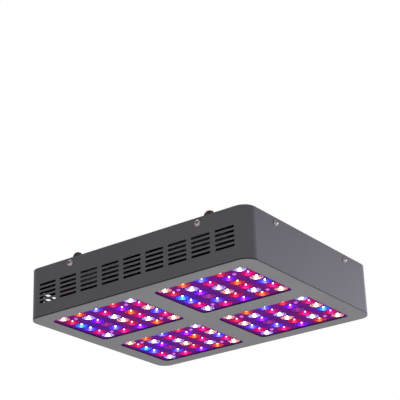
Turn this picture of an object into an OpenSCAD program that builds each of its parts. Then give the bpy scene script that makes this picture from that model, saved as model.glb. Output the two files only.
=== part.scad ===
// LED grow light: a folded steel tray with four windows of LEDs in mirror cups,
// cooled by two fans in its lid and hung by four eyes. +Z is up, the vented long
// side faces -Y and the sockets are in the -X end.

/* [Body] */
// Length of the body along X
body_l = 406; // [380:1:450]
// Width of the body along Y
body_w = 336; // [324:1:360]
// Height of the body without its hanging eyes
body_h = 81; // [78:0.5:100]
// Radius of the upright corners
corner_r = 19; // [12:1:30]
// Radius round the lower edge, below its shadow line
fold_r = 0.9; // [0.5:0.1:1.1]
// Thickness of the steel sheet
sheet = 1.2; // [0.8:0.1:1.5]

/* [Windows and LED modules] */
// Distance between module centres along X
module_pitch_x = 194.5; // [190:0.5:200]
// Distance between module centres along Y
module_pitch_y = 160.5; // [156:0.5:164]
// Length of a window along X
window_l = 160; // [150:1:170]
// Width of a window along Y
window_w = 126; // [120:1:132]
// Distance between LEDs along X
led_pitch_x = 32.6; // [28:0.1:33]
// Distance between LEDs along Y
led_pitch_y = 21.1; // [20.8:0.1:21.2]
// Radius of a mirror cup at its mouth
cup_r = 9.9; // [8:0.1:10]
// Depth from the mirror face to the LED board
cup_depth = 6.4; // [5:0.1:8]

/* [Vents] */
// Columns of slots in each long side
slot_columns = 9; // [5:2:9]
// Rows of slots in a column
slot_rows = 5; // [3:1:6]
// Length of a slot
slot_l = 33; // [20:1:34]
// Height of a slot
slot_h = 4; // [2:0.1:4.2]
// Distance between columns
slot_pitch_x = 40.85; // [38:0.05:42]
// Distance between rows
slot_pitch_z = 6.95; // [6:0.05:8]
// Height of the lowest row above the lower face
slot_z = 24.4; // [20:0.1:26]

/* [Cooling] */
// Width of a square fan
fan_w = 120; // [92:28:120]
// Thickness of a fan
fan_t = 25; // [20:1:25]
// Blades on a rotor
fan_blades = 7; // [5:1:9]
// Height of a heat sink with its base
sink_h = 30; // [20:1:32]
// Fins on a heat sink
sink_fins = 16; // [10:1:20]

/* [Fixings] */
// Distance of the lid screws from the middle of a long side
long_screw_x = 118.5; // [100:0.5:130]
// Distance of the lid screws from the middle of a short side
short_screw_y = 96; // [80:1:110]
// Distance of the hanging eyes from the middle along X
eye_x = 123.4; // [116:0.1:128]
// Distance of the hanging eyes from the middle along Y
eye_y = 145.5; // [144:0.1:148]
// Radius of the hole in a hanging eye
eye_hole_r = 4; // [3.5:0.1:4.5]

/* [Hidden] */
$fn = 32;
cut = 1;                                   // how far a cutter runs past a face
fit = 0.3;                                 // gap beside pieces that don't touch
running = 0.05;                            // radial clearance of a shaft or thread

lid_z = body_h - sheet;                    // underside of the lid
wall_in = sheet + fit;
fold_in = 0.4;                             // the same fold on the inside
seam_z = sheet;                            // shadow line round the body
seam_h = 1.2;
seam_d = 0.5;

mirror_margin_x = 8;                       // how far a mirror plate passes its window
mirror_margin_y = 7;
mirror_l = window_l + 2 * mirror_margin_x;
mirror_w = window_w + 2 * mirror_margin_y;
mirror_t = 1.2;
mirror_rim = 1.4;                          // how far the rim sets the mirror face back
mirror_z = sheet + mirror_rim;
cup_wall = 0.5;
cup_floor_r = 8.9;
cup_floor_t = 0.6;
cup_neck_r = 3.3;
window_r = 8;
board_z = mirror_z + cup_depth;
board_t = 1.6;
board_l = window_l - 2;
board_w = window_w - 2;
led_cols = 5;
led_rows = 6;
led_base_r = 2.9;
led_base_h = 1.4;
led_dome_r = 2.2;

stud_r = 1.5;
stud_l = 7;
stud_x = window_l / 2 + mirror_margin_x / 2;
stud_y = 50;
nut_r = 3.1;
nut_h = 2.4;

boss_r = 4.2;                              // post round a screw behind a mirror plate
module_head_r = 3.1;
module_head_h = 2;
module_screw_l = 11;
small_shank_r = 1.5;
small_head_r = 2.8;
small_head_h = 1.9;
small_screw_l = 6;

sink_z = board_z + board_t;
sink_base = 4;
sink_l = 140;
sink_w = 112;
fin_t = 1.6;

lip_h = 13;                                // turned-down flange of the lid
side_screw_z = 73.2;
screw_head_r = 4.9;
screw_head_h = 2.9;
screw_shank_r = 2.45;
side_screw_l = 6;

eye_base_z = body_h + sheet;               // top of the washer
eye_bar_r = 2.6;
eye_ring_r = eye_hole_r + eye_bar_r;
eye_ring_z = body_h + 8.1;
eye_land = 1;                              // half length of the bore's straight wall
eye_shank_r = 2.9;
eye_shank_l = 14;
eye_collar_r = 5;
eye_collar_h = eye_ring_z - eye_hole_r - eye_base_z - fit;
washer_r = 7;
eye_nut_r = 5.7;
eye_nut_h = 5;

fan_x = module_pitch_x / 2;
fan_z = lid_z - fan_t;
fan_bore_r = fan_w / 2 - 2.5;
fan_wall = 2;
fan_flange = 4;
fan_corner_r = 5;
fan_hole = fan_w / 2 - 7.5;
fan_hole_r = 2.15;
motor_r = 21;
motor_t = 3;
stator_r = 16;
stator_h = 14;
bearing_r = 4;
shaft_r = 1.5;
hub_r = 20;
hub_wall = 1.5;
hub_gap = 1;
hub_h = 17;
blade_tip_r = fan_bore_r - 1.7;
blade_t = 1.4;
blade_pitch = 38;                          // angle of a blade to the rotor's plane
strut_w = 4;

guard_wire_r = 1;
guard_rings = 5;
guard_step = 11;
guard_loop_r = 3.6;
fan_screw_l = 14;

driver_l = 98;
driver_w = 42;
driver_h = 26;
driver_y = 115;
driver_tab = 7;
driver_wall = 1.2;
driver_lid_t = 1;
pcb_t = 1.6;
pcb_gap = 3;

bracket_x = -95;
bracket_l = 38;
bracket_y = -156;
bracket_drop = 38;
bracket_foot = 12;
terminal_l = 36;
terminal_w = 14;
terminal_h = 16;
terminal_ways = 6;
terminal_pitch = terminal_l / terminal_ways;
terminal_z = lid_z - bracket_drop + 2;
terminal_screw_r = 1.7;

end_x = -body_l / 2;                       // outer face of the socket end
end_slot_y = 118;
socket_z = 40;
inlet_y = -66;
outlet_y = -8;
switch_z = 40;
switch_ys = [36, 62];
flange_l = 50;
flange_w = 24;
flange_t = 1.8;
flange_r = 4;
socket_screw_y = 20;
socket_shank_r = 1.45;
socket_head_r = 2.7;
inlet_l = 27.4;
inlet_w = 19.6;
inlet_d = 24;
cavity_l = 24.6;
cavity_w = 16.6;
cavity_d = 17;
cavity_corner = 5;
pin_w = 4;
pin_t = 2;
pin_l = 12;
pin_dx = 7;
pin_dz = 2;
tab_l = 8;
tab_w = 6.3;
tab_t = 0.8;
outlet_l = 31;
outlet_w = 20;
contact_w = 6.4;
contact_t = 3;
switch_l = 19;
switch_w = 13;
bezel_rim = 1.2;
bezel_t = 1.6;
switch_d = 16;
rocker_l = 16;
rocker_w = 10;
rocker_r = rocker_l / 2;
rocker_x = end_x + 5.4;                    // pivot of the rockers
rocker_tilt = 9;
rocker_v = 6;                              // slope of each half of the rocker's face
rocker_pin_r = 1.2;

post_r = 2.2;
post_l = 10;
post_pos = [-150, -154];
wire_r = 1.1;
wire_lane = 4;                             // distance between wires that run side by side

// LED colours of a module, one text for each row along Y and one letter for each LED
plan = ["wobrn", "rnpvp", "cvnow", "biwpb", "pbrnp", "npvow"];
plan_corner = ["wobrn", "rnpvp", "wvniw", "biwpc", "pbrnp", "npvow"];

grey = [0.30, 0.30, 0.32];
nickel = [0.72, 0.66, 0.62];
bronze = [0.22, 0.17, 0.14];
violet_mirror = [0.36, 0.12, 0.56];
dark = [0.06, 0.06, 0.07];
black = [0.03, 0.03, 0.03];
copper = [0.72, 0.43, 0.25];
white = [0.92, 0.92, 0.90];
alu = [0.62, 0.63, 0.65];
oxblood = [0.45, 0.10, 0.08];

// ---------- shared shapes ----------

module round_rect(l, w, r) {
  square([l - 2 * r, w], center = true);
  square([l, w - 2 * r], center = true);
  for (sx = [-1, 1], sy = [-1, 1])
    translate([sx * (l / 2 - r), sy * (w / 2 - r)]) circle(r);
}

module plate(l, w, r, t) {
  linear_extrude(t) round_rect(l, w, r);
}

// section from the middle out to a wall whose lower edge is folded
module fold_section(reach, h, f) {
  translate([0, f]) square([reach, h - f]);
  square([reach - f, h]);
  translate([reach - f, f]) circle(f);
}

module both_ways() {
  children();
  mirror([1, 0]) children();
}

// block with round upright corners and a folded lower edge
module folded_block(l, w, h, r, f) {
  for (sx = [-1, 1], sy = [-1, 1])
    translate([sx * (l / 2 - r), sy * (w / 2 - r), 0])
      rotate_extrude($fn = 64) fold_section(r, h, f);
  rotate([90, 0, 0]) linear_extrude(w - 2 * r, center = true)
    both_ways() fold_section(l / 2, h, f);
  rotate([90, 0, 90]) linear_extrude(l - 2 * r, center = true)
    both_ways() fold_section(w / 2, h, f);
}

// slot with round ends, standing in the XZ plane and cut along Y
module slot_cutter(depth) {
  rotate([90, 0, 0]) linear_extrude(depth, center = true) {
    square([slot_l - slot_h, slot_h], center = true);
    for (s = [-1, 1]) translate([s * (slot_l - slot_h) / 2, 0]) circle(slot_h / 2, $fn = 16);
  }
}

module cross_recess(r, d) {
  for (turn = [0, 90])
    rotate(turn) translate([-r * 0.6, -r * 0.13, -d]) cube([r * 1.2, r * 0.26, d + cut]);
}

// screw with a domed, cross-recessed head seated on z = 0, its shank going down
module screw(head_r, head_h, shank_r, shank_l) {
  dome_r = (head_r * head_r + head_h * head_h) / (2 * head_h);
  difference() {
    rotate_extrude() intersection() {
      translate([0, head_h - dome_r]) circle(dome_r, $fn = 96);
      square([head_r, head_h]);
    }
    translate([0, 0, head_h]) cross_recess(head_r, head_h * 0.55);
  }
  translate([0, 0, -shank_l]) cylinder(r = shank_r, h = shank_l + head_h * 0.3);
}

module hex_nut(r, h, bore_r) {
  difference() {
    cylinder(r = r, h = h, $fn = 6);
    translate([0, 0, -cut]) cylinder(r = bore_r, h = h + 2 * cut);
  }
}

module at_modules() {
  for (sx = [-1, 1], sy = [-1, 1])
    translate([sx * module_pitch_x / 2, sy * module_pitch_y / 2, 0]) children();
}

module at_grid(cols, rows) {
  for (i = [0:cols - 1], j = [0:rows - 1])
    translate([(i - (cols - 1) / 2) * led_pitch_x, (j - (rows - 1) / 2) * led_pitch_y, 0])
      children();
}

// the four screws of a module stand between the outermost LEDs
module at_module_screws() {
  for (sx = [-1, 1], sy = [-1, 1])
    translate([sx * led_pitch_x * (led_cols - 2) / 2, sy * led_pitch_y * (led_rows - 2) / 2, 0])
      children();
}

module at_studs() {
  for (sx = [-1, 1], sy = [-1, 1]) translate([sx * stud_x, sy * stud_y, 0]) children();
}

module at_side_screws() {
  for (turn = [0, 180]) rotate(turn) for (s = [-1, 1]) {
    translate([s * long_screw_x, -body_w / 2, side_screw_z]) rotate([90, 0, 0]) children();
    translate([body_l / 2, s * short_screw_y, side_screw_z]) rotate([0, 90, 0]) children();
  }
}

module at_eyes() {
  for (sx = [-1, 1], sy = [-1, 1]) translate([sx * eye_x, sy * eye_y, 0]) children();
}

module at_fans() {
  for (s = [-1, 1]) translate([s * fan_x, 0, 0]) children();
}

module at_fan_corners() {
  for (sx = [-1, 1], sy = [-1, 1]) translate([sx * fan_hole, sy * fan_hole, 0]) children();
}

module at_drivers() {
  for (sx = [-1, 1], sy = [-1, 1]) translate([sx * fan_x, sy * driver_y, 0]) children();
}

module at_driver_tabs() {
  for (s = [-1, 1]) translate([s * (driver_l + driver_tab) / 2, 0, 0]) children();
}

// places a piece drawn with its face up on the socket end, its face outwards
module at_end(y, z) {
  translate([end_x, y, z]) rotate([0, -90, 0]) rotate(90) children();
}

module at_socket_screws(y) {
  at_end(y, socket_z) for (s = [-1, 1]) translate([s * socket_screw_y, 0, 0]) children();
}

// ---------- sheet metal ----------

module long_side_slots() {
  for (c = [0:slot_columns - 1], r = [0:slot_rows - 1])
    translate([(c - (slot_columns - 1) / 2) * slot_pitch_x, 0, slot_z + r * slot_pitch_z])
      slot_cutter(body_w + 2 * cut);
}

module end_slots() {
  for (s = [-1, 1], r = [0:slot_rows - 1])
    translate([end_x, s * end_slot_y, slot_z + r * slot_pitch_z])
      rotate(90) slot_cutter(2 * (sheet + cut));
}

module end_cutouts() {
  at_end(inlet_y, socket_z) translate([0, 0, -sheet - cut])
    linear_extrude(sheet + 2 * cut) square([inlet_l + 2 * fit, inlet_w + 2 * fit], center = true);
  at_end(outlet_y, socket_z) translate([0, 0, -sheet - cut])
    linear_extrude(sheet + 2 * cut) square([outlet_l + 2 * fit, outlet_w + 2 * fit], center = true);
  for (y = switch_ys) at_end(y, switch_z) translate([0, 0, -sheet - cut])
    linear_extrude(sheet + 2 * cut) square([switch_w + 2 * fit, switch_l + 2 * fit], center = true);
  for (y = [inlet_y, outlet_y]) at_socket_screws(y) translate([0, 0, -sheet - cut])
    cylinder(r = socket_shank_r + running, h = sheet + 2 * cut);
}

// shadow line between the lower plate and the walls
module seam() {
  translate([0, 0, seam_z]) difference() {
    plate(body_l + 2 * cut, body_w + 2 * cut, corner_r + cut, seam_h);
    translate([0, 0, -cut])
      plate(body_l - 2 * seam_d, body_w - 2 * seam_d, corner_r - seam_d, seam_h + 2 * cut);
  }
}

module housing() color(grey) {
  difference() {
    folded_block(body_l, body_w, lid_z, corner_r, fold_r);
    translate([0, 0, sheet])
      folded_block(body_l - 2 * sheet, body_w - 2 * sheet, lid_z, corner_r - sheet, fold_in);
    seam();
    at_modules() translate([0, 0, -cut]) plate(window_l, window_w, window_r, sheet + 2 * cut);
    long_side_slots();
    end_slots();
    end_cutouts();
    at_side_screws() translate([0, 0, -sheet - cut])
      cylinder(r = screw_shank_r + running, h = sheet + 2 * cut);
  }
  at_modules() at_studs() translate([0, 0, sheet / 2]) cylinder(r = stud_r, h = stud_l);
}

module lid_flanges() {
  long_l = body_l - 2 * corner_r - 2 * fit;
  short_l = body_w - 2 * corner_r - 2 * fit;
  for (s = [-1, 1]) {
    translate([0, s * (body_w / 2 - wall_in - sheet / 2), lid_z - lip_h / 2 + sheet / 2])
      cube([long_l, sheet, lip_h + sheet], center = true);
    translate([s * (body_l / 2 - wall_in - sheet / 2), 0, lid_z - lip_h / 2 + sheet / 2])
      cube([sheet, short_l, lip_h + sheet], center = true);
  }
}

module top_cover() color(grey)
  difference() {
    union() {
      translate([0, 0, lid_z]) plate(body_l, body_w, corner_r, sheet, $fn = 64);
      lid_flanges();
    }
    at_fans() translate([0, 0, lid_z - cut]) cylinder(r = fan_bore_r, h = sheet + 2 * cut, $fn = 64);
    at_fans() at_fan_corners() translate([0, 0, lid_z - cut])
      cylinder(r = fan_hole_r + running, h = sheet + 2 * cut);
    at_drivers() at_driver_tabs() translate([0, 0, lid_z - cut])
      cylinder(r = small_shank_r + running, h = sheet + 2 * cut);
    at_eyes() translate([0, 0, lid_z - cut])
      cylinder(r = eye_shank_r + running, h = sheet + 2 * cut);
    for (s = [-1, 1]) translate([bracket_x + s * bracket_l / 3, bracket_y + bracket_foot / 2, lid_z - cut])
      cylinder(r = small_shank_r + running, h = sheet + 2 * cut);
    translate([post_pos.x, post_pos.y, lid_z - cut]) cylinder(r = post_r + running, h = sheet + 2 * cut);
    at_side_screws() translate([0, 0, -wall_in - sheet - cut])
      cylinder(r = screw_shank_r + running, h = wall_in + sheet + cut);
  }

module cover_screws() color(nickel)
  at_side_screws() screw(screw_head_r, screw_head_h, screw_shank_r, side_screw_l);

// ---------- hanging eyes ----------

module hanging_eyes() color(bronze)
  at_eyes() {
    difference() {
      union() {
        translate([0, 0, eye_ring_z]) rotate([90, 0, 0]) rotate_extrude($fn = 48) {
          translate([eye_ring_r, 0]) circle(eye_bar_r);
          translate([eye_hole_r, -eye_land]) square([eye_bar_r, 2 * eye_land]);
        }
        translate([0, 0, eye_base_z]) cylinder(r = eye_collar_r, h = eye_collar_h);
      }
      translate([0, 0, eye_base_z - 2 * eye_collar_r])
        cylinder(r = 2 * eye_collar_r, h = 2 * eye_collar_r);
    }
    translate([0, 0, eye_base_z - eye_shank_l]) cylinder(r = eye_shank_r, h = eye_shank_l + cut / 2);
  }

module eye_washers() color(nickel)
  at_eyes() translate([0, 0, body_h]) difference() {
    cylinder(r = washer_r, h = sheet);
    translate([0, 0, -cut]) cylinder(r = eye_shank_r + running, h = sheet + 2 * cut);
  }

module eye_nuts() color(nickel)
  at_eyes() translate([0, 0, lid_z - eye_nut_h]) hex_nut(eye_nut_r, eye_nut_h, eye_shank_r + running);

// ---------- LED modules ----------

// mirror plate set back in a rim, its steep cups opening downwards
module reflector() {
  difference() {
    union() {
      translate([0, 0, -mirror_rim]) plate(mirror_l, mirror_w, window_r, mirror_rim + mirror_t);
      at_grid(led_cols, led_rows)
        cylinder(r1 = cup_r + cup_wall, r2 = cup_floor_r + cup_wall, h = cup_depth);
      at_module_screws() cylinder(r = boss_r, h = cup_depth);
    }
    translate([0, 0, -mirror_rim - cut]) plate(window_l, window_w, window_r, mirror_rim + cut);
    at_grid(led_cols, led_rows) {
      cylinder(r1 = cup_r, r2 = cup_floor_r, h = cup_depth - cup_floor_t);
      translate([0, 0, -cut / 2]) cylinder(r = cup_r, h = cut / 2);
      cylinder(r = cup_neck_r, h = cup_depth + cut);
    }
    at_module_screws() translate([0, 0, -cut])
      cylinder(r = small_shank_r + running, h = cup_depth + 2 * cut);
    at_studs() translate([0, 0, -mirror_rim - cut])
      cylinder(r = stud_r + fit, h = mirror_rim + mirror_t + 2 * cut);
  }
}

module reflectors() color(violet_mirror) at_modules() translate([0, 0, mirror_z]) reflector();

module led_boards() color(white)
  at_modules() difference() {
    translate([0, 0, board_z]) plate(board_l, board_w, window_r / 2, board_t);
    at_module_screws() translate([0, 0, board_z - cut])
      cylinder(r = small_shank_r + running, h = board_t + 2 * cut);
  }

// LED package under the board: a round base with a dome
module led() {
  translate([0, 0, -led_base_h]) {
    cylinder(r = led_base_r, h = led_base_h);
    rotate_extrude() intersection() {
      circle(led_dome_r);
      translate([0, -led_dome_r]) square([led_dome_r, led_dome_r + led_base_h / 2]);
    }
  }
}

function module_plan(sx, sy) = sx > 0 && sy > 0 ? plan_corner : plan;

module leds(kind, tint) color(tint)
  for (sx = [-1, 1], sy = [-1, 1], i = [0:led_cols - 1], j = [0:led_rows - 1])
    if (module_plan(sx, sy)[j][i] == kind)
      translate([
        sx * module_pitch_x / 2 + (i - (led_cols - 1) / 2) * led_pitch_x,
        sy * module_pitch_y / 2 + (j - (led_rows - 1) / 2) * led_pitch_y,
        board_z
      ]) led();

module led_warm() leds("w", [1.00, 0.88, 0.66]);
module led_cool() leds("n", [0.97, 0.96, 1.00]);
module led_amber() leds("o", [1.00, 0.55, 0.20]);
module led_red() leds("r", [1.00, 0.28, 0.22]);
module led_deep_red() leds("p", [0.95, 0.10, 0.42]);
module led_violet() leds("v", [0.58, 0.18, 0.95]);
module led_royal() leds("b", [0.35, 0.42, 1.00]);
module led_blue() leds("c", [0.25, 0.62, 1.00]);
module led_infrared() leds("i", [0.20, 0.03, 0.16]);

module module_screws() color([0.80, 0.45, 0.72])
  at_modules() at_module_screws() translate([0, 0, mirror_z]) mirror([0, 0, 1])
    screw(module_head_r, module_head_h, small_shank_r, module_screw_l);

module module_nuts() color(nickel)
  at_modules() at_studs() translate([0, 0, mirror_z + mirror_t]) hex_nut(nut_r, nut_h, stud_r + running);

module heat_sinks() color(dark)
  at_modules() difference() {
    union() {
      translate([0, 0, sink_z]) linear_extrude(sink_base) square([board_l, board_w], center = true);
      for (f = [0:sink_fins - 1])
        translate([-sink_l / 2 + f * (sink_l - fin_t) / (sink_fins - 1), -sink_w / 2, sink_z])
          cube([fin_t, sink_w, sink_h]);
    }
    at_module_screws() translate([0, 0, sink_z - cut])
      cylinder(r = small_shank_r + running, h = sink_base + cut / 2);
  }

// ---------- fans ----------

module fan_flange_plate() {
  difference() {
    plate(fan_w, fan_w, fan_corner_r, fan_flange);
    translate([0, 0, -cut]) cylinder(r = fan_bore_r, h = fan_flange + 2 * cut, $fn = 64);
  }
}

module fan_frame() {
  difference() {
    union() {
      fan_flange_plate();
      translate([0, 0, fan_t - fan_flange]) fan_flange_plate();
      difference() {
        cylinder(r = fan_bore_r + fan_wall, h = fan_t, $fn = 64);
        translate([0, 0, -cut]) cylinder(r = fan_bore_r, h = fan_t + 2 * cut, $fn = 64);
      }
    }
    at_fan_corners() translate([0, 0, -cut]) cylinder(r = fan_hole_r, h = fan_t + 2 * cut);
  }
  difference() {
    union() {
      cylinder(r = motor_r, h = motor_t);
      for (turn = [45:90:315]) rotate(turn)
        translate([0, -strut_w / 2, 0]) cube([fan_bore_r + fan_wall / 2, strut_w, motor_t]);
      cylinder(r = stator_r, h = motor_t + stator_h);
    }
    translate([0, 0, motor_t]) cylinder(r = shaft_r + running, h = stator_h + cut);
  }
}

module fan_frames() color(black) at_fans() translate([0, 0, fan_z]) fan_frame();

module fan_blade() {
  blade_h = hub_h - 3 * hub_gap;
  intersection() {
    difference() {
      cylinder(r = blade_tip_r, h = blade_h, $fn = 64);
      cylinder(r = hub_r - hub_wall / 2, h = blade_h, $fn = 64);
    }
    translate([blade_tip_r / 2, 0, blade_h / 2]) rotate([blade_pitch, 0, 0])
      cube([blade_tip_r * 1.1, 4 * blade_h, blade_t], center = true);
  }
}

module fan_rotor() color(dark)
  translate([0, 0, fan_z + motor_t + hub_gap]) {
    difference() {
      cylinder(r = hub_r, h = hub_h, $fn = 64);
      translate([0, 0, -cut]) cylinder(r = hub_r - hub_wall, h = hub_h - hub_wall + cut, $fn = 64);
    }
    translate([0, 0, hub_gap / 2]) cylinder(r = shaft_r, h = hub_h - hub_wall);
    for (b = [0:fan_blades - 1]) rotate(b * 360 / fan_blades)
      translate([0, 0, hub_gap]) fan_blade();
  }

module fan_rotor_left() translate([-fan_x, 0, 0]) fan_rotor();
module fan_rotor_right() translate([fan_x, 0, 0]) fan_rotor();

module wire_ring(r) {
  rotate_extrude($fn = 48) translate([r, 0]) circle(guard_wire_r, $fn = 14);
}

module fan_guards() color(nickel)
  at_fans() translate([0, 0, body_h + guard_wire_r]) {
    for (k = [1:guard_rings]) translate([0, 0, 1.5 * guard_wire_r]) wire_ring(k * guard_step);
    at_fan_corners() wire_ring(guard_loop_r);
    for (turn = [45:90:315]) rotate(turn) translate([guard_step, 0, 0]) rotate([0, 90, 0])
      cylinder(r = guard_wire_r, h = fan_hole * sqrt(2) - guard_loop_r - guard_step, $fn = 14);
  }

module fan_screws() color(nickel)
  at_fans() at_fan_corners() translate([0, 0, body_h + 2 * guard_wire_r])
    screw(guard_loop_r + guard_wire_r, screw_head_h, fan_hole_r - running, fan_screw_l);

// ---------- drivers and wiring ----------

module driver_cases() color(alu)
  at_drivers() translate([0, 0, lid_z - driver_h]) {
    difference() {
      translate([-driver_l / 2, -driver_w / 2, 0]) cube([driver_l, driver_w, driver_h]);
      translate([-driver_l / 2 + driver_wall, -driver_w / 2 + driver_wall, -cut])
        cube([driver_l - 2 * driver_wall, driver_w - 2 * driver_wall, driver_h - driver_wall + cut]);
    }
    difference() {
      translate([-driver_l / 2 - driver_tab, -driver_w / 4, driver_h - driver_wall])
        cube([driver_l + 2 * driver_tab, driver_w / 2, driver_wall]);
      at_driver_tabs() cylinder(r = small_shank_r + running, h = driver_h + cut);
    }
  }

module driver_lids() color(alu)
  at_drivers() translate([-driver_l / 2, -driver_w / 2, lid_z - driver_h - driver_lid_t])
    cube([driver_l, driver_w, driver_lid_t]);

// circuit board on the case's ceiling posts, with its transformer and capacitors hanging down
module driver_boards() color([0.10, 0.28, 0.16])
  at_drivers() translate([0, 0, lid_z - driver_wall]) {
    board_l = driver_l - 2 * driver_wall - 2 * fit;
    board_w = driver_w - 2 * driver_wall - 2 * fit;
    translate([-board_l / 2, -board_w / 2, -pcb_gap - pcb_t]) cube([board_l, board_w, pcb_t]);
    for (sx = [-1, 1], sy = [-1, 1])
      translate([sx * board_l * 0.44, sy * board_w * 0.4, -pcb_gap - pcb_t / 2])
        cylinder(r = 2, h = pcb_gap + pcb_t / 2);
    translate([-10, -11, -pcb_gap - 17]) cube([24, 22, 17]);
    for (x = [-34, -22]) translate([x, 0, -pcb_gap - 18]) cylinder(r = 5, h = 18);
    translate([26, -12, -pcb_gap - 14]) cube([3, 24, 14]);
  }

module driver_screws() color(nickel)
  at_drivers() at_driver_tabs() translate([0, 0, body_h])
    screw(small_head_r, small_head_h, small_shank_r, small_screw_l);

module terminal_bracket() color(alu)
  difference() {
    translate([bracket_x - bracket_l / 2, bracket_y, lid_z - bracket_drop]) {
      cube([bracket_l, sheet, bracket_drop]);
      translate([0, 0, bracket_drop - sheet]) cube([bracket_l, bracket_foot, sheet]);
    }
    for (s = [-1, 1])
      translate([bracket_x + s * bracket_l / 3, bracket_y + bracket_foot / 2, lid_z - sheet - cut])
        cylinder(r = small_shank_r + running, h = sheet + 2 * cut);
  }

module bracket_screws() color(nickel)
  for (s = [-1, 1])
    translate([bracket_x + s * bracket_l / 3, bracket_y + bracket_foot / 2, body_h])
      screw(small_head_r, small_head_h, small_shank_r, small_screw_l);

module at_terminals() {
  for (k = [0:terminal_ways - 1])
    translate([
      bracket_x + (k - (terminal_ways - 1) / 2) * terminal_pitch,
      bracket_y + sheet + terminal_w / 2,
      terminal_z
    ]) children();
}

module terminal_block() color([0.62, 0.62, 0.60])
  difference() {
    translate([bracket_x - terminal_l / 2, bracket_y + sheet, terminal_z])
      cube([terminal_l, terminal_w, terminal_h]);
    at_terminals() {
      translate([0, 0, -cut]) cylinder(r = terminal_screw_r, h = terminal_h / 2);
      translate([0, 0, terminal_h / 2]) rotate([-90, 0, 0])
        cylinder(r = wire_r + fit, h = terminal_w);
    }
  }

module terminal_screws() color(nickel)
  at_terminals() translate([0, 0, 1.5]) {
    difference() {
      cylinder(r = terminal_screw_r - running, h = 4);
      translate([-terminal_screw_r, -0.3, -cut]) cube([2 * terminal_screw_r, 0.6, cut + 1]);
    }
  }

module earth_post() color(nickel)
  translate([post_pos.x, post_pos.y, body_h]) screw(screw_head_r, screw_head_h, post_r, post_l);

module earth_nut() color(nickel)
  translate([post_pos.x, post_pos.y, lid_z - nut_h]) hex_nut(1.3 * nut_r, nut_h, post_r + running);

// wire through a list of points
module wire(points) {
  for (k = [0:len(points) - 2]) hull() {
    translate(points[k]) sphere(wire_r, $fn = 8);
    translate(points[k + 1]) sphere(wire_r, $fn = 8);
  }
}

function terminal_mouth(k) = [
  bracket_x + (k - (terminal_ways - 1) / 2) * terminal_pitch,
  bracket_y + sheet + terminal_w + wire_r + fit,
  terminal_z + terminal_h / 2
];

// three wires from a socket's tabs along the end, under a driver and up to three terminals
module socket_wires(y, first_way, lane_x, lane_y, lane_z)
  for (k = [0:2]) {
    tab_x = end_x + inlet_d + tab_l + wire_r + fit;
    pin_y = y + (k - 1) * pin_dx;
    mouth = terminal_mouth(first_way + k);
    wire([
      [tab_x, pin_y, socket_z + (k == 1 ? -pin_dz : pin_dz)],
      [tab_x, pin_y, lane_z],
      [lane_x + k * wire_lane, pin_y, lane_z],
      [lane_x + k * wire_lane, lane_y + k * wire_lane, lane_z],
      [mouth.x, lane_y + k * wire_lane, lane_z],
      mouth
    ]);
  }

module mains_wires() color(oxblood) socket_wires(inlet_y, 0, -166, -136.5, 47);
module outlet_wires() color(oxblood) socket_wires(outlet_y, 3, -154, -124.5, 43);

module switch_wires() color(oxblood)
  for (k = [0, 1]) {
    end_reach = end_x + switch_d + tab_l + wire_r + fit;
    wire([
      [end_reach, switch_ys[k], switch_z + 5.5],
      [end_reach + 14, switch_ys[k] + 6, 62],
      [end_reach + 18, 100 + 10 * k, 66],
      [-fan_x - driver_l / 2 - wire_r - fit, 104 + 10 * k, 66]
    ]);
  }

// each driver feeds its board past the inner edge of the heat sink
module driver_wires() color([0.70, 0.10, 0.10])
  for (sx = [-1, 1], sy = [-1, 1], s = [-1, 1])
    translate([sx * fan_x, sy * (driver_y - 14 + 2 * s), 0]) wire([
      [-sx * (driver_l / 2 + wire_r + fit), 0, lid_z - 12],
      [-sx * (driver_l / 2 + 16), 0, lid_z - 18],
      [-sx * (sink_l / 2 + 12), 0, sink_z + sink_base + 4],
      [-sx * (board_l / 2 + wire_r + fit), 0, board_z + board_t / 2]
    ]);

module fan_wires() color(black)
  for (s = [-1, 1]) wire([
    [s * (fan_x - 12), fan_w / 2 + wire_r + fit, fan_z + 8],
    [s * (fan_x - 12), fan_w / 2 + 10, fan_z + 3],
    [s * (fan_x - 12), driver_y - driver_w / 2 - wire_r - fit, lid_z - 16]
  ]);

// ---------- sockets and switches, drawn with their faces up ----------

module socket_flange(cut_l, cut_w) {
  difference() {
    plate(flange_l, flange_w, flange_r, flange_t);
    for (s = [-1, 1]) translate([s * socket_screw_y, 0, 0]) {
      cylinder(r = socket_shank_r + running, h = flange_t + cut);
      translate([0, 0, flange_t - 1.2])
        cylinder(r1 = socket_shank_r + running, r2 = socket_head_r + 2 * running, h = 1.2);
    }
    translate([0, 0, -cut]) linear_extrude(flange_t + 2 * cut) square([cut_l, cut_w], center = true);
  }
}

// outline of the inlet's hollow, with its two cut corners
module cavity_outline() {
  difference() {
    square([cavity_l, cavity_w], center = true);
    for (s = [-1, 1]) translate([s * cavity_l / 2, cavity_w / 2]) rotate(45)
      square(cavity_corner * sqrt(2), center = true);
  }
}

// places of the three pins, the middle one for earth
module at_pins() {
  for (k = [-1:1]) translate([k * pin_dx, k == 0 ? pin_dz : -pin_dz, 0]) children();
}

module power_inlet() color(black)
  at_end(inlet_y, socket_z) {
    socket_flange(inlet_l, inlet_w);
    difference() {
      translate([0, 0, -inlet_d]) linear_extrude(inlet_d + flange_t)
        square([inlet_l, inlet_w], center = true);
      translate([0, 0, flange_t - cavity_d]) linear_extrude(cavity_d + cut) cavity_outline();
      at_pins() translate([-pin_t / 2, -pin_w / 2, -inlet_d - cut])
        cube([pin_t, pin_w, inlet_d]);
    }
  }

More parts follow.
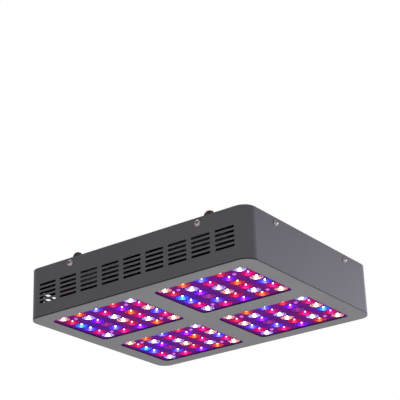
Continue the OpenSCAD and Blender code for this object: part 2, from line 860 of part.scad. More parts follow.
module inlet_pins() color(nickel)
  at_end(inlet_y, socket_z) at_pins() {
    translate([-pin_t / 2, -pin_w / 2, -inlet_d])
      cube([pin_t, pin_w, inlet_d + flange_t - cavity_d + pin_l]);
    translate([-tab_t / 2, -tab_w / 2, -inlet_d - tab_l]) cube([tab_t, tab_w, tab_l]);
  }

module power_outlet() color(black)
  at_end(outlet_y, socket_z) {
    socket_flange(outlet_l, outlet_w);
    difference() {
      translate([0, 0, -inlet_d]) linear_extrude(inlet_d + flange_t)
        square([outlet_l, outlet_w], center = true);
      at_pins() translate([-contact_t / 2, -contact_w / 2, -inlet_d - cut])
        cube([contact_t, contact_w, inlet_d + flange_t + 2 * cut]);
    }
  }

module outlet_contacts() color([0.70, 0.60, 0.35])
  at_end(outlet_y, socket_z) at_pins() {
    for (s = [-1, 1]) translate([s * (contact_t - tab_t) / 2 - tab_t / 2, -contact_w / 2, -inlet_d])
      cube([tab_t, contact_w, inlet_d - 4]);
    translate([-contact_t / 2, -contact_w / 2, -inlet_d]) cube([contact_t, contact_w, tab_t]);
    translate([-tab_t / 2, -tab_w / 2, -inlet_d - tab_l]) cube([tab_t, tab_w, tab_l]);
  }

module socket_screws() color(nickel)
  for (y = [inlet_y, outlet_y]) at_socket_screws(y) {
    difference() {
      translate([0, 0, flange_t - 1.2]) cylinder(r1 = socket_shank_r, r2 = socket_head_r, h = 1.2);
      translate([0, 0, flange_t]) cross_recess(socket_head_r, 0.8);
    }
    translate([0, 0, -small_screw_l]) cylinder(r = socket_shank_r, h = small_screw_l + flange_t - 1);
  }

// switch body drawn with the rocker's long side along its Y
module switch_body() {
  pivot = rocker_x - end_x;
  difference() {
    union() {
      plate(switch_w + 2 * bezel_rim, switch_l + 2 * bezel_rim, 1.5, bezel_t);
      translate([-switch_w / 2, -switch_l / 2, -switch_d]) cube([switch_w, switch_l, switch_d]);
    }
    translate([-(rocker_w + 2 * fit) / 2, -(rocker_l + 2 * fit) / 2, -switch_d + 2])
      cube([rocker_w + 2 * fit, rocker_l + 2 * fit, switch_d + bezel_t]);
    translate([0, 0, -pivot]) rotate([0, 90, 0])
      cylinder(r = rocker_pin_r + running, h = switch_w + 2 * cut, center = true);
  }
  for (s = [-1, 0, 1])
    translate([-tab_t / 2, s * 5.5 - tab_w / 4, -switch_d - tab_l]) cube([tab_t, tab_w / 2, tab_l]);
}

module switch_bodies() color(black) for (y = switch_ys) at_end(y, switch_z) switch_body();

// rocker about its own pivot, its face up: a drum sector with two sloping halves
module rocker() color([0.62, 0.06, 0.06]) {
  rise = rocker_x - end_x + bezel_t - 0.6;
  rotate([rocker_tilt, 0, 0]) {
    difference() {
      intersection() {
        rotate([0, 90, 0]) cylinder(r = rocker_r, h = rocker_w, center = true, $fn = 64);
        translate([-rocker_w, -rocker_l, -rocker_r / 3]) cube([2 * rocker_w, 2 * rocker_l, 2 * rocker_l]);
      }
      for (s = [-1, 1]) translate([0, 0, rise]) rotate([s * rocker_v, 0, 0])
        translate([-rocker_w, s > 0 ? 0 : -2 * rocker_l, 0]) cube([2 * rocker_w, 2 * rocker_l, rocker_l]);
    }
    rotate([0, 90, 0])
      cylinder(r = rocker_pin_r, h = rocker_w + 2 * fit + 1.6, center = true);
  }
}

module placed_rocker(y) {
  at_end(y, switch_z) translate([0, 0, end_x - rocker_x]) rocker();
}

module rocker_front() placed_rocker(switch_ys[0]);
module rocker_rear() placed_rocker(switch_ys[1]);

// ---------- nodes ----------

housing();
top_cover();
cover_screws();
hanging_eyes();
eye_washers();
eye_nuts();
reflectors();
led_boards();
led_warm();
led_cool();
led_amber();
led_red();
led_deep_red();
led_violet();
led_royal();
led_blue();
led_infrared();
module_screws();
module_nuts();
heat_sinks();
fan_frames();
fan_rotor_left();
fan_rotor_right();
fan_guards();
fan_screws();
driver_cases();
driver_lids();
driver_boards();
driver_screws();
terminal_bracket();
bracket_screws();
terminal_block();
terminal_screws();
earth_post();
earth_nut();
mains_wires();
outlet_wires();
switch_wires();
driver_wires();
fan_wires();
power_inlet();
inlet_pins();
power_outlet();
outlet_contacts();
socket_screws();
switch_bodies();
rocker_front();
rocker_rear();
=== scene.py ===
"""LED grow light, hung and lit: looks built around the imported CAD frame. Metres, +Z up."""
import math

import bmesh
import bpy
from mathutils import Matrix, Vector

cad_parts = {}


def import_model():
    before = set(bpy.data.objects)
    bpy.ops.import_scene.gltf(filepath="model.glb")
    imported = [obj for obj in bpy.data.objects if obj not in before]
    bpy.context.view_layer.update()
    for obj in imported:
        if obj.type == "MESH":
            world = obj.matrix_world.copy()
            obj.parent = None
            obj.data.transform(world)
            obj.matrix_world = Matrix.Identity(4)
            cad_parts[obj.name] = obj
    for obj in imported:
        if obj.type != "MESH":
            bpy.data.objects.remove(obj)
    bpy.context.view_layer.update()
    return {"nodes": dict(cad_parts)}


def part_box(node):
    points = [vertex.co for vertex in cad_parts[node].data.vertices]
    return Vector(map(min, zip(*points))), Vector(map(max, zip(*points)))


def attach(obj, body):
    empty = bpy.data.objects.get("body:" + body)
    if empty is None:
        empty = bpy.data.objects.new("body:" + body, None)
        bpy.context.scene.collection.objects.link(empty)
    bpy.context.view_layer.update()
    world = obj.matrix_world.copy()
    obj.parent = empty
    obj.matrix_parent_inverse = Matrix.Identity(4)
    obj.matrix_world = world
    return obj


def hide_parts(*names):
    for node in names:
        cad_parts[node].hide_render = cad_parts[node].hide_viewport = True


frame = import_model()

MM = 0.001

# ---------------------------------------------------------------- the object's own sizes
HOUSING_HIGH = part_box("housing")[1]
SCREWS = Vector((118.5, 96.0, 73.2)) * MM         # side screws: along X, along Y, height
RECESS_RADIUS = 1.9 * MM                          # radius of the painted shade round the cross recess in a side screw
RECESS_TOP = 2.4 * MM                             # how far out from the wall the painted recess shade reaches
CORNER = 19 * MM                                  # radius of the upright corners
SHADE_INSET = 1.0 * MM                                  # painted shade starts this deep in from the outline
LOWER_FACE = 0.05 * MM                            # and this far above the underside
LID_TOP = HOUSING_HIGH[2] + 0.6 * MM              # what is higher than this is the lid's outside
SEAM = (1.15 * MM, 2.45 * MM)                     # heights of the painted shadow line in the seam
SEAM_SKIN = 0.15 * MM                             # its faces with painted shadow lie deeper than this
MIRROR_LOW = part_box("reflectors")[0]
MODULE = Vector((97.25, 80.25, 0.0)) * MM         # distance of a module's centre from the middle
PITCH = Vector((32.6, 21.1)) * MM                 # between LEDs
COLS, ROWS = 5, 6
FACE_Z = MIRROR_LOW[2] + 1.4 * MM                 # face of a mirror plate, back from its rim
PLATE = Vector((88.0, 70.0)) * MM                 # half sizes of a mirror plate
WINDOW = Vector((80.0, 63.0)) * MM                # and of the window in front of it
CUP_DEPTH = 6.4                                   # millimetres, like the rest of CUP below
BOARD_Z = FACE_Z + CUP_DEPTH * MM

PLAN = ("wobrn", "rnpvp", "cvnow", "biwpb", "pbrnp", "npvow")
PLAN_CORNER = ("wobrn", "rnpvp", "wvniw", "biwpc", "pbrnp", "npvow")

# letter: (CAD node, colour of the light painted on the cup's wall, radiance of the dome, glow
# painted on the plate round the cup)
LEDS = {
    "w": ("led_warm", (1.00, 0.70, 0.46), (10, 8.8, 6.8), (0.140, 0.012, 0.160)),
    "n": ("led_cool", (0.86, 0.78, 1.00), (10, 9.4, 10.6), (0.090, 0.014, 0.260)),
    "o": ("led_amber", (0.78, 0.13, 0.012), (8.4, 4, 1.2), (0.225, 0.009, 0.075)),
    "r": ("led_red", (0.62, 0.022, 0.065), (7.6, 2.3, 2.1), (0.250, 0.009, 0.070)),
    "p": ("led_deep_red", (0.68, 0.012, 0.15), (7.6, 2, 3.1), (0.250, 0.009, 0.105)),
    "v": ("led_violet", (0.34, 0.02, 0.90), (4.8, 3, 9.2), (0.070, 0.012, 0.350)),
    "b": ("led_royal", (0.20, 0.18, 0.95), (5.4, 6.4, 10.4), (0.042, 0.014, 0.440)),
    "c": ("led_blue", (0.08, 0.40, 1.00), (5.4, 7.6, 10.4), (0.042, 0.018, 0.440)),
    "i": ("led_infrared", (0.12, 0.002, 0.14), (0.9, 0.02, 0.4), (0.100, 0.007, 0.125)),
}
BASE_GLOW = 1.3                                   # radiance of an LED's frosted base
MIRRORED = 0.105                                  # share of its dome's radiance in a satin wall, which sets the painted wall tint
SCATTERED = 0.16                                  # light painted on a wall just inside the mouth, as if scattered there
SATIN = 0.09                                      # how much rougher a cup's wall is than the flats
WALL_HAZE = 0.6                                   # painted haze on a cup's wall, beside that on the flats
PAINTED_FLAT_GLOW = Vector((0.118, 0.010, 0.232))            # the dim violet glow painted on the flats
PAINTED_FLAT_GLOW_SHARE = 0.25                               # its weight against the nearest LED's painted haze
HAZE_REACH = 0.45 * PITCH.x                       # how far an LED's painted haze spreads over the flats


def plan_of(sx, sy):
    return PLAN_CORNER if sx > 0 and sy > 0 else PLAN


def cup_centre(i, j):
    return Vector(((i - (COLS - 1) / 2) * PITCH.x, (j - (ROWS - 1) / 2) * PITCH.y))


# ---------------------------------------------------------------- node materials
class Nodes:
    """A material's node tree, with short calls for what the materials here need."""

    def __init__(self, name):
        self.mat = bpy.data.materials.new(name)
        self.mat.use_nodes = True
        self.tree = self.mat.node_tree
        self.tree.nodes.clear()
        out = self.tree.nodes.new("ShaderNodeOutputMaterial")
        self.bsdf = self.tree.nodes.new("ShaderNodeBsdfPrincipled")
        self.link(self.bsdf.outputs[0], out.inputs["Surface"])
        self.place = self.tree.nodes.new("ShaderNodeTexCoord").outputs["Object"]

    def link(self, a, b):
        self.tree.links.new(a, b)

    def set(self, **values):
        for key, value in values.items():
            self.bsdf.inputs[key.replace("_", " ")].default_value = value
        return self

    def noise(self, scale, detail, stretch=None):
        where = self.place
        if stretch:
            m = self.tree.nodes.new("ShaderNodeMapping")
            m.inputs["Scale"].default_value = stretch
            self.link(where, m.inputs["Vector"])
            where = m.outputs[0]
        n = self.tree.nodes.new("ShaderNodeTexNoise")
        n.inputs["Scale"].default_value = scale
        n.inputs["Detail"].default_value = detail
        n.inputs["Roughness"].default_value = 0.55
        self.link(where, n.inputs["Vector"])
        return n.outputs["Fac"]

    def cell_walls(self, scale):
        v = self.tree.nodes.new("ShaderNodeTexVoronoi")
        v.feature = "DISTANCE_TO_EDGE"
        v.inputs["Scale"].default_value = scale
        self.link(self.place, v.inputs["Vector"])
        return v.outputs["Distance"]

    def ramp(self, fac, *stops):
        r = self.tree.nodes.new("ShaderNodeValToRGB")
        while len(r.color_ramp.elements) < len(stops):
            r.color_ramp.elements.new(0.5)
        for element, (where, colour) in zip(r.color_ramp.elements, stops):
            element.position = where
            element.color = (*colour, 1)
        self.link(fac, r.inputs["Fac"])
        return r.outputs["Color"]

    def span(self, fac, low, high):
        m = self.tree.nodes.new("ShaderNodeMapRange")
        m.inputs["To Min"].default_value = low
        m.inputs["To Max"].default_value = high
        self.link(fac, m.inputs["Value"])
        return m.outputs["Result"]

    def math(self, kind, a, b=0.0):
        m = self.tree.nodes.new("ShaderNodeMath")
        m.operation = kind
        for socket, value in zip(m.inputs, (a, b)):
            if isinstance(value, (int, float)):
                socket.default_value = value
            else:
                self.link(value, socket)
        return m.outputs[0]

    def mix(self, fac, a, b):
        m = self.tree.nodes.new("ShaderNodeMix")
        m.data_type = "RGBA"
        for socket, value in ((m.inputs[0], fac), (m.inputs[6], a), (m.inputs[7], b)):
            if isinstance(value, tuple):
                socket.default_value = (*value, 1)
            else:
                self.link(value, socket)
        return m.outputs[2]

    def attribute(self, name):
        a = self.tree.nodes.new("ShaderNodeAttribute")
        a.attribute_name = name
        return a.outputs["Color"]

    def axes(self):
        split = self.tree.nodes.new("ShaderNodeSeparateXYZ")
        self.link(self.place, split.inputs[0])
        return split.outputs

    def near(self, x, y, z):
        """how far a point is from the axis of the nearest side screw"""
        side = self.math("SUBTRACT", self.math("ABSOLUTE", x), SCREWS.x)
        end = self.math("SUBTRACT", self.math("ABSOLUTE", y), SCREWS.y)
        across = self.math("MINIMUM", self.math("ABSOLUTE", side), self.math("ABSOLUTE", end))
        up = self.math("SUBTRACT", z, SCREWS.z)
        squares = self.math("ADD", self.math("POWER", across, 2.0), self.math("POWER", up, 2.0))
        return self.math("SQRT", squares)

    def inward(self, x, y):
        """how far a point lies inside the body's rounded outline"""
        over = []
        for value, half in ((x, HOUSING_HIGH[0]), (y, HOUSING_HIGH[1])):
            past = self.math("SUBTRACT", self.math("ABSOLUTE", value), half - CORNER)
            over.append(self.math("POWER", self.math("MAXIMUM", past, 0.0), 2.0))
        return self.math("SUBTRACT", CORNER, self.math("SQRT", self.math("ADD", *over)))

    def bump(self, height, distance, strength):
        b = self.tree.nodes.new("ShaderNodeBump")
        b.inputs["Distance"].default_value = distance
        b.inputs["Strength"].default_value = strength
        self.link(height, b.inputs["Height"])
        self.link(b.outputs[0], self.bsdf.inputs["Normal"])
        return self


def powder_coat():
    """paint outside; painted shade, near black, on the inner faces, on cut edges and down in the
    seam's shadow line
    """
    m = Nodes("powder_coat")
    cloud = m.noise(9, 4)
    speck = m.noise(2600, 2)
    base = m.ramp(cloud, (0.30, (0.129, 0.127, 0.139)), (0.70, (0.146, 0.144, 0.156)))
    base = m.mix(m.span(speck, 0.0, 0.35), base, (0.200, 0.198, 0.210))
    # painted shade: near black for the inner faces and the seam line, where shade falls
    painted_shade = m.ramp(cloud, (0.3, (0.010, 0.009, 0.012)), (0.7, (0.016, 0.015, 0.019)))
    x, y, z = m.axes()
    # where the painted shade goes: inner faces, then the seam's shadow line
    depth = m.inward(x, y)
    inside = m.math("GREATER_THAN", depth, SHADE_INSET)
    inside = m.math("MULTIPLY", inside, m.math("GREATER_THAN", z, LOWER_FACE))
    inside = m.math("MULTIPLY", inside, m.math("LESS_THAN", z, LID_TOP))
    # painted shadow: the seam line at its heights, on faces set back from the outline
    line = m.math("GREATER_THAN", depth, SEAM_SKIN)
    line = m.math("MULTIPLY", line, m.math("GREATER_THAN", z, SEAM[0]))
    line = m.math("MULTIPLY", line, m.math("LESS_THAN", z, SEAM[1]))
    base = m.mix(m.math("MAXIMUM", inside, line), base, painted_shade)
    m.link(base, m.bsdf.inputs["Base Color"])
    m.link(m.span(m.noise(700, 3), 0.46, 0.62), m.bsdf.inputs["Roughness"])
    return m.set(Specular_IOR_Level=0.35).bump(m.noise(1900, 3), 0.00006, 0.5).mat


def plated(name, tint, rough=(0.22, 0.40), dirt=0.35, metal=1.0):
    m = Nodes(name)
    stain = m.noise(420, 4)
    dark = tuple(c * (1 - dirt) for c in tint)
    m.link(m.ramp(stain, (0.35, dark), (0.62, tint)), m.bsdf.inputs["Base Color"])
    m.link(m.span(m.noise(900, 3), *rough), m.bsdf.inputs["Roughness"])
    return m.set(Metallic=metal).bump(m.noise(1500, 3), 0.00003, 0.5).mat


def screw_metal():
    """nickel that catches the light on its dome, with painted shade in the cross recess"""
    m = Nodes("screw_metal")
    x, y, z = m.axes()
    stain = m.noise(800, 3)
    dome = m.ramp(stain, (0.35, (0.56, 0.45, 0.45)), (0.62, (0.95, 0.82, 0.81)))
    # painted shade: near black down in the cross recess
    recess = m.ramp(stain, (0.35, (0.012, 0.009, 0.009)), (0.62, (0.05, 0.04, 0.04)))
    middle = m.math("LESS_THAN", m.near(x, y, z), RECESS_RADIUS)
    sunk = m.math("GREATER_THAN", m.inward(x, y), -RECESS_TOP)
    m.link(m.mix(m.math("MULTIPLY", middle, sunk), dome, recess), m.bsdf.inputs["Base Color"])
    m.link(m.span(m.noise(900, 3), 0.22, 0.36), m.bsdf.inputs["Roughness"])
    return m.set(Metallic=0.35).mat


def screw_painted_glow():
    """bright screw head with a painted violet glow (emission) that stands in for the light round
    the cups
    """
    m = Nodes("screw_painted_glow")
    stain = m.noise(420, 4)
    metal = m.ramp(stain, (0.35, (0.45, 0.15, 0.50)), (0.62, (0.70, 0.30, 0.75)))
    # painted glow: violet emission on the heads in place of the LEDs' light falling on them
    light = m.ramp(stain, (0.30, (0.36, 0.05, 0.42)), (0.70, (0.56, 0.10, 0.58)))
    m.link(metal, m.bsdf.inputs["Base Color"])
    m.link(light, m.bsdf.inputs["Emission Color"])
    m.link(m.span(stain, 0.3, 0.45), m.bsdf.inputs["Roughness"])
    return m.set(Metallic=0.6, Emission_Strength=0.9).mat


def moulded(name, tint, rough=(0.35, 0.55)):
    m = Nodes(name)
    lift = tuple(min(1.0, c * 1.25 + 0.004) for c in tint)
    m.link(m.ramp(m.noise(60, 4), (0.3, tint), (0.75, lift)), m.bsdf.inputs["Base Color"])
    m.link(m.span(m.noise(300, 3), *rough), m.bsdf.inputs["Roughness"])
    return m.bump(m.noise(1400, 2), 0.00004, 0.6).mat


def anodised(name, tint):
    m = Nodes(name)
    drawn = m.noise(500, 3, stretch=(1, 0.04, 1))
    lift = tuple(c * 1.5 for c in tint)
    m.link(m.ramp(drawn, (0.3, tint), (0.7, lift)), m.bsdf.inputs["Base Color"])
    m.link(m.span(drawn, 0.32, 0.5), m.bsdf.inputs["Roughness"])
    return m.set(Metallic=0.6).bump(drawn, 0.00003, 0.4).mat


def mill_aluminium():
    m = Nodes("mill_aluminium")
    drawn = m.noise(700, 4, stretch=(0.05, 1, 1))
    tone = m.ramp(drawn, (0.3, (0.42, 0.42, 0.43)), (0.7, (0.60, 0.60, 0.61)))
    m.link(tone, m.bsdf.inputs["Base Color"])
    m.link(m.span(drawn, 0.35, 0.5), m.bsdf.inputs["Roughness"])
    return m.set(Metallic=0.8).bump(drawn, 0.00002, 0.5).mat


def solder_mask(name, tint):
    m = Nodes(name)
    track = m.cell_walls(260)
    lift = tuple(min(1.0, c * 1.4 + 0.02) for c in tint)
    m.link(m.ramp(track, (0.02, lift), (0.06, tint)), m.bsdf.inputs["Base Color"])
    m.link(m.span(m.noise(200, 2), 0.25, 0.4), m.bsdf.inputs["Roughness"])
    return m.bump(track, 0.00003, 0.4).mat


def mirror():
    """metallised plate: polished flats that show the dark room, satin cups that mirror the LEDs,
    under a painted glow for the LEDs' light
    """
    m = Nodes("mirror_plate")
    m.link(m.attribute("metal"), m.bsdf.inputs["Base Color"])
    black = (0, 0, 0)
    # painted light: the wall's LED colour in a band just inside the mouth, over the painted haze
    scattered = m.ramp(m.attribute("depth"), (0.0, black), (0.07, (SCATTERED,) * 3), (1.0, black))
    light = m.mix(scattered, m.attribute("glow"), m.attribute("light"))
    # the painted glow, made uneven with noise
    uneven = m.mix(m.span(m.noise(70, 3), 0.0, 0.2), light, (0.06, 0.002, 0.16))
    m.link(uneven, m.bsdf.inputs["Emission Color"])
    polish = m.span(m.noise(160, 3), 0.26, 0.30)
    frost = m.math("MULTIPLY", m.attribute("satin"), SATIN)
    m.link(m.math("ADD", polish, frost), m.bsdf.inputs["Roughness"])
    m.mat.cycles.emission_sampling = "NONE"
    return m.set(Metallic=1.0, Emission_Strength=1.0).mat


def led_glow(letter, part):
    """clear dome over a lit chip, or the frosted base that glows round it"""
    node, tint, radiance, _ = LEDS[letter]
    dome = part == "_dome"
    strength = max(radiance) if dome else BASE_GLOW
    hue = tuple(c / strength for c in radiance) if dome else tint
    m = Nodes(node + part)
    grain = m.noise(1500, 2)
    for socket, colour, fall in (("Emission Color", hue, 0.85), ("Base Color", tint, 0.6)):
        low = tuple(c * fall for c in colour)
        m.link(m.ramp(grain, (0.2, low), (0.9, colour)), m.bsdf.inputs[socket])
    m.link(m.span(grain, 0.10, 0.22), m.bsdf.inputs["Roughness"])
    return m.set(Emission_Strength=strength).mat


# ---------------------------------------------------------------- mesh helpers
def mesh_object(name, bm, mats):
    mesh = bpy.data.meshes.new(name)
    bm.normal_update()
    bm.to_mesh(mesh)
    bm.free()
    for mat in mats:
        mesh.materials.append(mat)
    for face in mesh.polygons:
        face.use_smooth = True
    obj = bpy.data.objects.new(name, mesh)
    bpy.context.scene.collection.objects.link(obj)
    return obj


def ring_faces(bm, low, high, flip=False):
    """quads between two loops of the same number of vertices"""
    n = len(low)
    for k in range(n):
        quad = (low[k], low[(k + 1) % n], high[(k + 1) % n], high[k])
        bm.faces.new(quad[::-1] if flip else quad)


# ---------------------------------------------------------------- mirror plates
RING_STEPS = 56                                   # round a cup
PLATE_SHEET = 0.5 * MM                            # thickness of a mirror plate


def room(i, n, pitch, window):
    """how far a cell reaches towards the lower and the upper side along one axis"""
    outer = window - (n - 1) / 2 * pitch
    return (outer if i == 0 else pitch / 2), (outer if i == n - 1 else pitch / 2)


def ring_angles():
    """angles round a cup that also meet the corners of every kind of cell"""
    angles = [k * math.tau / RING_STEPS for k in range(RING_STEPS)]
    for x in room(0, COLS, PITCH.x, WINDOW.x):
        for y in room(0, ROWS, PITCH.y, WINDOW.y):
            angles += [math.atan2(sy * y, sx * x) % math.tau for sx in (-1, 1) for sy in (-1, 1)]
    angles.sort()
    kept = []
    for a in angles:
        if not kept or a - kept[-1] > 1e-3:
            kept.append(a)
    return kept


def cell_edge(angle, i, j):
    """where the ray at that angle leaves the cup's cell"""
    way = Vector((math.cos(angle), math.sin(angle)))
    x = room(i, COLS, PITCH.x, WINDOW.x)[way.x > 0]
    y = room(j, ROWS, PITCH.y, WINDOW.y)[way.y > 0]
    return way * min(x / max(abs(way.x), 1e-9), y / max(abs(way.y), 1e-9))


def plate_glow(where, plan):
    """painted glow on the flat of a mirror plate: a violet ground, tinted by the nearest LEDs' haze
    """
    total, weight = PAINTED_FLAT_GLOW * PAINTED_FLAT_GLOW_SHARE, PAINTED_FLAT_GLOW_SHARE
    for j in range(ROWS):
        for i in range(COLS):
            far = (where - cup_centre(i, j)).length / HAZE_REACH
            share = math.exp(-far * far)
            total += Vector(LEDS[plan[j][i]][3]) * share
            weight += share
    return total / weight


# a cup's section from its mouth to its neck: (radius mm, depth mm)
CUP = ((9.94, 0.0), (9.88, 0.15), (9.86, 0.5), (9.83, 1.1), (9.79, 1.8), (9.74, 2.6), (9.68, 3.6),
       (9.6, 5.0), (9.4, 5.9), (8.9, 6.3), (8.2, CUP_DEPTH), (5.0, CUP_DEPTH), (3.4, CUP_DEPTH))


def ring(at, radius, angles):
    return [at + Vector((math.cos(a), math.sin(a))) * radius for a in angles]


def mirror_plate(name, sx, sy, mats):
    """one module's plate; its vertices carry what the mirror material reads of the nearest LED:
    painted glow, tinted metal, depth and satin
    """
    plan = plan_of(sx, sy)
    centre = Vector((sx * MODULE.x, sy * MODULE.y, FACE_Z))
    bm = bmesh.new()
    layers = [bm.verts.layers.float_color.new(kind)
              for kind in ("glow", "metal", "light", "depth", "satin")]

    def vert(xy, z, glow, metal, light=(0, 0, 0), depth=1.0, satin=0.0):
        v = bm.verts.new((centre.x + xy.x, centre.y + xy.y, centre.z + z))
        for layer, value in zip(layers, (glow, metal, light, (depth,) * 3, (satin,) * 3)):
            v[layer] = (*value, 1)
        return v

    # painted violet on the flats' metal, standing in for the LEDs' light on them
    flat = Vector((0.06, 0.006, 0.10))
    angles = ring_angles()
    for j in range(ROWS):
        for i in range(COLS):
            at = cup_centre(i, j)
            _, tint, radiance, haze = LEDS[plan[j][i]]
            # painted light: a metal tint in the LED's colour that turns the dome's mirrored
            # radiance into the wall's light
            shine = [min(1.0, t / (r * MIRRORED)) for t, r in zip(tint, radiance)]
            edge = [at + cell_edge(a, i, j) for a in angles]
            rim = ring(at, CUP[0][0] * MM, angles)
            loops = []
            for share in (1.0, 0.66, 0.33, 0.0):
                spots = [r.lerp(e, share) for r, e in zip(rim, edge)]
                loops.append([vert(p, 0, plate_glow(p, plan), flat) for p in spots])
            for radius, depth in CUP[1:]:
                # a wall's vertex: painted haze, LED-tinted metal, painted wall light, depth and
                # full satin
                wall = Vector(haze) * WALL_HAZE, shine, tint, depth / CUP_DEPTH, 1.0
                loops.append([vert(p, depth * MM, *wall) for p in ring(at, radius * MM, angles)])
            for outer, inner in zip(loops, loops[1:]):
                ring_faces(bm, outer, inner)
    bmesh.ops.remove_doubles(bm, verts=bm.verts, dist=2e-6)
    border(bm, centre, vert)
    bmesh.ops.recalc_face_normals(bm, faces=bm.faces)
    down = sum(f.normal.z * f.calc_area() for f in bm.faces)
    if down > 0:
        bmesh.ops.reverse_faces(bm, faces=bm.faces)
    obj = mesh_object(name, bm, mats)
    sheet = obj.modifiers.new("sheet", "SOLIDIFY")
    sheet.thickness = PLATE_SHEET
    sheet.offset = -1.0
    sheet.material_offset = sheet.material_offset_rim = 1
    return obj


def border(bm, centre, vert):
    """steps the plate down to the bezel round its window and out to its own edge, painted dark as
    shade
    """
    edge = [v for v in bm.verts if abs(abs(v.co.x - centre.x) - WINDOW.x) < 1e-6
            or abs(abs(v.co.y - centre.y) - WINDOW.y) < 1e-6]
    edge.sort(key=lambda v: math.atan2(v.co.y - centre.y, v.co.x - centre.x))
    last = edge
    drop = MIRROR_LOW[2] + 0.02 * MM - FACE_Z
    # painted shade: the step down at the window's edge is kept dark
    edge_shade_glow = PAINTED_FLAT_GLOW * 0.25
    edge_shade_metal = Vector((0.02, 0.004, 0.04))
    for share, z in ((0.0, -0.06 * MM), (0.0, drop), (1.0, drop)):
        loop = []
        for v in edge:
            p = Vector((v.co.x - centre.x, v.co.y - centre.y))
            side = Vector((PLATE.x * p.x / WINDOW.x, PLATE.y * p.y / WINDOW.y))
            loop.append(vert(p.lerp(side, share), z, edge_shade_glow, edge_shade_metal))
        ring_faces(bm, last, loop, flip=True)
        last = loop


# ---------------------------------------------------------------- LEDs
def led_group(letter, package, core):
    """all packages of one colour: a chamfered base with a round dome"""
    bm = bmesh.new()
    for sx in (-1, 1):
        for sy in (-1, 1):
            for j, row in enumerate(plan_of(sx, sy)):
                for i, kind in enumerate(row):
                    if kind == letter:
                        at = cup_centre(i, j) + Vector((sx * MODULE.x, sy * MODULE.y))
                        one_led(bm, Vector((at.x, at.y, BOARD_Z)))
    return mesh_object("lens_" + LEDS[letter][0], bm, [package, core])


def one_led(bm, at):
    """round package with a chamfered edge and a tall dome"""
    steps, dome_steps = 20, 7
    base_r, base_h, dome_r, rise = 2.9 * MM, 1.4 * MM, 1.35 * MM, 4.0 * MM
    base = [(base_r, 0.0), (base_r, base_h * 0.8), (base_r * 0.93, base_h)]
    profile = base + [(dome_r, base_h)]
    for k in range(1, dome_steps):
        a = k / dome_steps * math.pi / 2
        profile.append((dome_r * math.cos(a), base_h + rise * math.sin(a)))
    loops = [[bm.verts.new(at + Vector((math.cos(t) * r, math.sin(t) * r, -z)))
              for t in (n * math.tau / steps for n in range(steps))] for r, z in profile]
    bm.faces.new(loops[0])
    for k, (outer, inner) in enumerate(zip(loops, loops[1:])):
        before = len(bm.faces)
        ring_faces(bm, outer, inner, flip=True)
        bm.faces.ensure_lookup_table()
        for face in bm.faces[before:]:
            face.material_index = 1 if k >= len(base) else 0
    bm.faces.new(loops[-1][::-1]).material_index = 1


# ---------------------------------------------------------------- dressing the frame
def dress(mat, *nodes):
    for name in nodes:
        obj = frame["nodes"][name]
        obj.data.materials.clear()
        obj.data.materials.append(mat)


dress(powder_coat(), "housing", "top_cover")
dress(screw_metal(), "cover_screws")
dress(plated("nickel", (0.66, 0.60, 0.56)), "eye_washers", "eye_nuts", "module_nuts",
      "fan_guards", "fan_screws", "driver_screws", "bracket_screws", "terminal_screws",
      "earth_post", "earth_nut", "inlet_pins", "socket_screws")
# the eyes are nickel plated; their brown is a painted reflection of the dark room they mirror
dress(plated("bronze", (0.40, 0.27, 0.20), (0.22, 0.38), 0.75, 0.3), "hanging_eyes")
dress(screw_painted_glow(), "module_screws")
dress(plated("brass", (0.72, 0.55, 0.25)), "outlet_contacts")
dress(anodised("black_anodised", (0.012, 0.012, 0.014)), "heat_sinks")
dress(mill_aluminium(), "driver_cases", "driver_lids", "terminal_bracket")
dress(solder_mask("white_board", (0.70, 0.70, 0.68)), "led_boards")
dress(solder_mask("green_board", (0.02, 0.09, 0.035)), "driver_boards")
dress(moulded("black_moulded", (0.022, 0.022, 0.024)), "fan_frames", "fan_rotor_left",
      "fan_rotor_right", "power_inlet", "power_outlet", "switch_bodies")
dress(moulded("grey_moulded", (0.38, 0.38, 0.36)), "terminal_block")
dress(moulded("red_moulded", (0.40, 0.012, 0.012), (0.2, 0.35)), "rocker_front", "rocker_rear")
dress(moulded("wire_red", (0.16, 0.012, 0.010)), "mains_wires", "outlet_wires", "switch_wires",
      "driver_wires")
dress(moulded("wire_black", (0.012, 0.012, 0.012)), "fan_wires")

mirror_mats = mirror(), moulded("mirror_back", (0.10, 0.10, 0.105))
plates = [mirror_plate(f"mirror_{side}_{end}", sx, sy, mirror_mats)
          for sx, side in ((-1, "left"), (1, "right")) for sy, end in ((-1, "front"), (1, "rear"))]
for plate in plates:
    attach(plate, "lamp")
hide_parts("reflectors")

for letter in LEDS:
    node = LEDS[letter][0]
    lens = led_group(letter, led_glow(letter, "_base"), led_glow(letter, "_dome"))
    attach(lens, "lamp")
    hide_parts(node)


# ---------------------------------------------------------------- floor, light and camera
FLOOR_Z = -2.1                                    # far enough down for views from below


def floor():
    m = Nodes("pale_floor")
    tone = m.ramp(m.noise(1.5, 3), (0.3, (0.80, 0.80, 0.80)), (0.7, (0.84, 0.84, 0.84)))
    m.link(tone, m.bsdf.inputs["Base Color"])
    m.set(Roughness=0.9)
    bm = bmesh.new()
    bmesh.ops.create_grid(bm, x_segments=4, y_segments=4, size=12)
    obj = mesh_object("floor", bm, [m.mat])
    obj.location.z = FLOOR_Z
    obj.visible_glossy = False


def softbox(name, place, width, power, mirrored=True, colour=(1, 1, 1)):
    """square light aimed at the lamp; one that isn't mirrored shows in no reflection"""
    light = bpy.data.lights.new(name, "AREA")
    light.shape = "SQUARE"
    light.size = width
    light.energy = power
    light.color = colour
    obj = bpy.data.objects.new(name, light)
    obj.location = place
    obj.rotation_euler = (-Vector(place)).to_track_quat("-Z", "Y").to_euler()
    obj.visible_glossy = mirrored
    obj.visible_camera = False
    bpy.context.scene.collection.objects.link(obj)


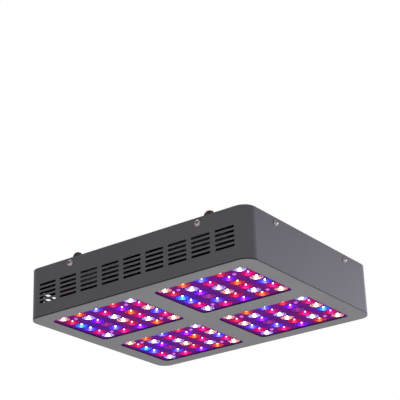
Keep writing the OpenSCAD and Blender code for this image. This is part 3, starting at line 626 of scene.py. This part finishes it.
def camera():
    """below the lamp, off its front right corner; the offsets set the lamp in the frame"""
    azimuth, elevation, roll = (math.radians(a) for a in (35.331, -23.666, -2.124))
    offset_right, offset_up, distance = -0.831 * MM, 144.297 * MM, 1967.257 * MM
    middle = Vector((0, 0, 40.5 * MM))
    level = math.cos(elevation)
    back = Vector((math.sin(azimuth) * level, -math.cos(azimuth) * level, math.sin(elevation)))
    side = Vector((0, 0, 1)).cross(back).normalized()
    rise = back.cross(side)
    right = side * math.cos(roll) + rise * math.sin(roll)
    up = rise * math.cos(roll) - side * math.sin(roll)
    data = bpy.data.cameras.new("camera")
    data.sensor_width = 36
    data.lens = 115.055
    data.clip_end = 50
    obj = bpy.data.objects.new("camera", data)
    turn = Matrix((right, up, back)).transposed().to_4x4()
    where = middle + right * offset_right + up * offset_up + back * distance
    obj.matrix_world = Matrix.Translation(where) @ turn
    bpy.context.scene.collection.objects.link(obj)
    bpy.context.scene.camera = obj


def world():
    """white behind the lamp, soft grey light on it, and a darker room in its mirrors"""
    w = bpy.data.worlds.new("studio")
    w.use_nodes = True
    tree = w.node_tree
    tree.nodes.clear()
    out = tree.nodes.new("ShaderNodeOutputWorld")
    path = tree.nodes.new("ShaderNodeLightPath")

    def sky(colour, strength):
        shader = tree.nodes.new("ShaderNodeBackground")
        shader.inputs["Color"].default_value = (*colour, 1)
        shader.inputs["Strength"].default_value = strength
        return shader.outputs[0]

    last = sky((0.93, 0.93, 1.0), 0.395)
    mirrored, behind = sky((0.9, 0.8, 1.0), 0.03), sky((1, 1, 1), 1.0)
    for ray, seen in (("Is Glossy Ray", mirrored), ("Is Camera Ray", behind)):
        mix = tree.nodes.new("ShaderNodeMixShader")
        tree.links.new(path.outputs[ray], mix.inputs[0])
        tree.links.new(last, mix.inputs[1])
        tree.links.new(seen, mix.inputs[2])
        last = mix.outputs[0]
    tree.links.new(last, out.inputs[0])
    bpy.context.scene.world = w


floor()
softbox("key_below", (0.15, -0.05, -1.2), 1.6, 22, mirrored=False, colour=(1.0, 0.99, 0.92))
softbox("side_right", (2.0, 5.2, 0.9), 1.6, 128, colour=(0.99, 0.97, 1.15))
softbox("side_left", (-3.5, 0.2, 0.6), 1.0, 120, mirrored=False)
softbox("top_fill", (-0.8, 0.6, 2.2), 1.6, 30)
world()
camera()
bpy.context.scene.view_settings.view_transform = "Standard"
